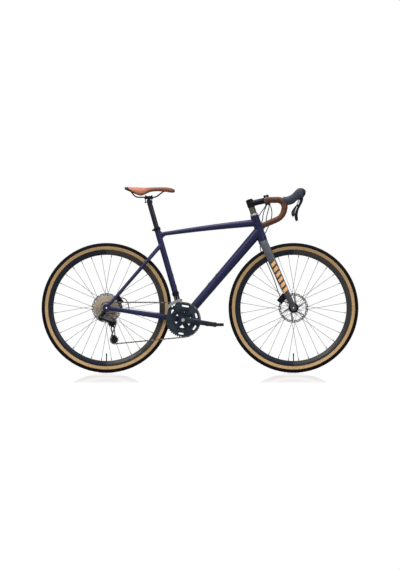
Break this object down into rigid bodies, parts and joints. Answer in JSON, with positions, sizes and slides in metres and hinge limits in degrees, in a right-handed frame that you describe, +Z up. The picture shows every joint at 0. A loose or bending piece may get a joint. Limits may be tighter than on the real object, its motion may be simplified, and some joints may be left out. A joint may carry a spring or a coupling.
{
  "type": "gravel bicycle",
  "caption": "Gravel bicycle with drop handlebar, disc brakes, double chainring and rear derailleur, spoked wheels with tan-wall tyres and a narrow saddle.",
  "frame": {"origin": "on the ground, midway between the two tyre contacts", "axes": "+X forward, +Y to the rider's left, +Z up"},
  "size_m": [1.7017, 0.5108, 0.9997],
  "materials": {
    "frame_paint": "satin dark indigo",
    "black_alloy": "black anodised",
    "silver_alloy": "brushed",
    "steel": "bare",
    "dark_steel": "nickel plated",
    "tyre": "black tread with tan side walls",
    "rim": "black anodised",
    "fork_paint": "satin grey over charcoal",
    "tape": "brown wound bar tape",
    "hood": "matt rubber",
    "saddle": "tan leather",
    "black_plastic": "moulded",
    "spacer": "grey olive",
    "cable": "black housing",
    "pad": "sintered"
  },
  "bodies": {
    "frame": {"front_triangle": "frame_paint", "rear_triangle": "frame_paint", "bottle_bosses": "steel", "headset_bearings": "steel", "bottom_bracket_cups": "black_alloy", "seat_clamp": "black_alloy", "front_derailleur_body": "black_alloy", "rear_derailleur_body": "black_alloy", "rear_brake_caliper": "black_alloy", "frame_cables": "cable", "rear_thru_axle": "black_alloy", "chain": "steel"},
    "saddle": {"seatpost": "black_alloy", "saddle_clamp": "black_alloy", "saddle_rails": "dark_steel", "saddle_base": "black_plastic", "saddle_cover": "saddle"},
    "steering": {"fork": "fork_paint", "headset_spacers": "spacer", "stem": "black_alloy", "stem_faceplate": "black_alloy", "handlebar": "black_alloy", "bar_tape": "tape", "bar_end_plugs": "black_plastic", "lever_bodies": "black_plastic", "hood_covers": "hood", "front_brake_caliper": "black_alloy", "front_brake_hose": "cable", "front_thru_axle": "black_alloy"},
    "front_wheel": {"front_tyre": "tyre", "front_rim": "rim", "front_spokes": "steel", "front_hub": "black_alloy", "front_rotor": "steel"},
    "rear_wheel": {"rear_tyre": "tyre", "rear_rim": "rim", "rear_spokes": "steel", "rear_hub": "black_alloy", "rear_rotor": "steel"},
    "cassette": {"cassette": "dark_steel"},
    "crank": {"right_crank_arm": "black_alloy", "left_crank_arm": "black_alloy", "chainrings": "black_alloy", "pedal_spindles": "steel"},
    "left_pedal": {"left_pedal": "black_plastic"},
    "right_pedal": {"right_pedal": "black_plastic"},
    "left_lever": {"left_brake_lever": "black_alloy"},
    "right_lever": {"right_brake_lever": "black_alloy"},
    "left_paddle": {"left_shift_paddle": "black_plastic"},
    "right_paddle": {"right_shift_paddle": "black_plastic"},
    "front_pad": {"front_brake_pad": "pad"},
    "rear_pad": {"rear_brake_pad": "pad"},
    "front_changer_link": {"front_derailleur_link": "black_alloy"},
    "front_changer_cage": {"front_derailleur_cage": "steel"},
    "rear_outer_link": {"rear_derailleur_outer_link": "silver_alloy"},
    "rear_inner_link": {"rear_derailleur_inner_link": "black_alloy"},
    "rear_knuckle": {"rear_derailleur_knuckle": "black_alloy"},
    "rear_cage": {"rear_derailleur_cage": "steel"},
    "guide_pulley": {"guide_pulley": "black_plastic"},
    "tension_pulley": {"tension_pulley": "black_plastic"}
  },
  "joints": [
    {"name": "steering", "type": "hinge", "parent": "frame", "child": "steering", "pos_m": [0.33684, 0, 0.71026], "axis": [-0.3173, 0, 0.9483], "range_deg": [-65, 65], "deforming": ["frame_cables", "front_brake_hose"]},
    {"name": "seatpost_slide", "type": "slide", "parent": "frame", "child": "saddle", "axis": [-0.2756, 0, 0.9613], "range_m": [-0.08, 0.03]},
    {"name": "front_wheel_spin", "type": "hinge", "parent": "steering", "child": "front_wheel", "pos_m": [0.502, 0, 0.349], "axis": [0, 1, 0], "continuous": true},
    {"name": "rear_wheel_spin", "type": "hinge", "parent": "frame", "child": "rear_wheel", "pos_m": [-0.502, 0, 0.349], "axis": [0, 1, 0], "continuous": true},
    {"name": "crank_spin", "type": "hinge", "parent": "frame", "child": "crank", "pos_m": [-0.09095, 0, 0.285], "axis": [0, 1, 0], "continuous": true, "deforming": ["chain"]},
    {"name": "cassette_spin", "type": "hinge", "parent": "frame", "child": "cassette", "pos_m": [-0.502, 0, 0.349], "axis": [0, 1, 0], "continuous": true},
    {"name": "left_pedal_spin", "type": "hinge", "parent": "crank", "child": "left_pedal", "pos_m": [-0.26156, 0, 0.3105], "axis": [0, 1, 0], "continuous": true},
    {"name": "right_pedal_spin", "type": "hinge", "parent": "crank", "child": "right_pedal", "pos_m": [0.07965, 0, 0.2595], "axis": [0, 1, 0], "continuous": true},
    {"name": "left_brake_pull", "type": "hinge", "parent": "steering", "child": "left_lever", "pos_m": [0.54139, 0.211, 0.94994], "axis": [0, 1, 0], "range_deg": [0, 16], "stiffness_Nm_per_rad": 1.2},
    {"name": "left_shift_swing", "type": "hinge", "parent": "left_lever", "child": "left_paddle", "pos_m": [0.53189, 0.2077, 0.93194], "axis": [0.3443, 0, 0.9389], "range_deg": [0, 8], "stiffness_Nm_per_rad": 0.15},
    {"name": "right_brake_pull", "type": "hinge", "parent": "steering", "child": "right_lever", "pos_m": [0.54139, -0.211, 0.94994], "axis": [0, 1, 0], "range_deg": [0, 16], "stiffness_Nm_per_rad": 1.2},
    {"name": "right_shift_swing", "type": "hinge", "parent": "right_lever", "child": "right_paddle", "pos_m": [0.53189, -0.2077, 0.93194], "axis": [-0.3443, 0, -0.9389], "range_deg": [0, 8], "stiffness_Nm_per_rad": 0.15},
    {"name": "front_pad_slide", "type": "slide", "parent": "steering", "child": "front_pad", "axis": [0, 1, 0], "range_m": [0, 0.0004]},
    {"name": "rear_pad_slide", "type": "slide", "parent": "frame", "child": "rear_pad", "axis": [0, 1, 0], "range_m": [0, 0.0004]},
    {"name": "front_changer_swing", "type": "hinge", "parent": "frame", "child": "front_changer_link", "pos_m": [-0.12695, -0.047, 0.429], "axis": [1, 0, 0], "range_deg": [0, 18.5], "stiffness_Nm_per_rad": 0.4},
    {"name": "front_changer_cage", "type": "hinge", "parent": "front_changer_link", "child": "front_changer_cage", "pos_m": [-0.12695, -0.047, 0.407], "axis": [1, 0, 0], "range_deg": [-18.5, 0]},
    {"name": "rear_shift_outer", "type": "hinge", "parent": "frame", "child": "rear_outer_link", "pos_m": [-0.52461, -0.08955, 0.30003], "axis": [0, 0.5878, 0.809], "range_deg": [-10, 42], "stiffness_Nm_per_rad": 0.6},
    {"name": "rear_shift_inner", "type": "hinge", "parent": "frame", "child": "rear_inner_link", "pos_m": [-0.52739, -0.07845, 0.29197], "axis": [0, 0.5878, 0.809], "range_deg": [-10, 42]},
    {"name": "rear_shift_knuckle", "type": "hinge", "parent": "rear_outer_link", "child": "rear_knuckle", "pos_m": [-0.46661, -0.08955, 0.28003], "axis": [0, 0.5878, 0.809], "range_deg": [-42, 10]},
    {"name": "rear_cage_swing", "type": "hinge", "parent": "rear_knuckle", "child": "rear_cage", "pos_m": [-0.466, -0.06402, 0.282], "axis": [0, 1, 0], "range_deg": [-20, 30], "stiffness_Nm_per_rad": 0.8},
    {"name": "guide_pulley_spin", "type": "hinge", "parent": "rear_cage", "child": "guide_pulley", "pos_m": [-0.472, -0.05702, 0.269], "axis": [0, 1, 0], "continuous": true},
    {"name": "tension_pulley_spin", "type": "hinge", "parent": "rear_cage", "child": "tension_pulley", "pos_m": [-0.45861, -0.05702, 0.17899], "axis": [0, 1, 0], "continuous": true}
  ],
  "couplings": [
    {"joint": "cassette_spin", "follows": "crank_spin", "ratio": 3.0667},
    {"joint": "guide_pulley_spin", "follows": "crank_spin", "ratio": -4.1818},
    {"joint": "tension_pulley_spin", "follows": "crank_spin", "ratio": 4.1818},
    {"joint": "front_pad_slide", "follows": "left_brake_pull", "m_per_rad": 0.00143},
    {"joint": "rear_pad_slide", "follows": "right_brake_pull", "m_per_rad": 0.00143},
    {"joint": "front_changer_cage", "follows": "front_changer_swing", "ratio": -1},
    {"joint": "rear_shift_inner", "follows": "rear_shift_outer", "ratio": 1},
    {"joint": "rear_shift_knuckle", "follows": "rear_shift_outer", "ratio": -1}
  ]
}
